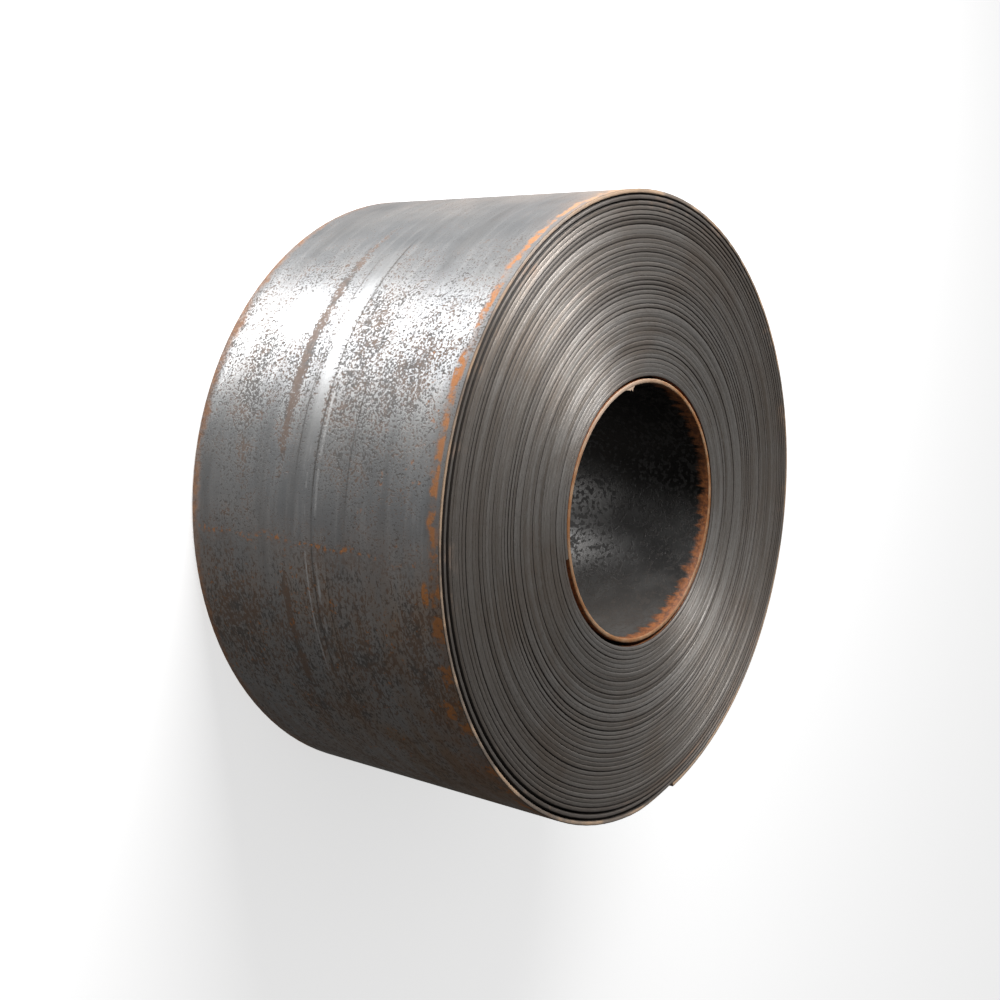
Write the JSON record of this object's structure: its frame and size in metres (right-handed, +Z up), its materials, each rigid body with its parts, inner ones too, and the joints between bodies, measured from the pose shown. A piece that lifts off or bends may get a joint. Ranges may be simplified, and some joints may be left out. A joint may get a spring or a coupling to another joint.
{
  "type": "steel coil",
  "caption": "Heavy hot-rolled steel strip wound into a coil with an open eye, standing on its end; raw stock for levelling, slitting or forming.",
  "frame": {"origin": "on the coil's axis, at the floor under its lower end", "axes": "+Z up along the coil's axis, out of the end that faces the camera in the picture; +Y is the direction that is up in the picture"},
  "size_m": [1.87, 1.87, 0.933],
  "materials": {
    "hot_rolled_steel": "dark mill scale, speckled with rust"
  },
  "bodies": {
    "root": {"coil": "hot_rolled_steel"}
  },
  "joints": []
}
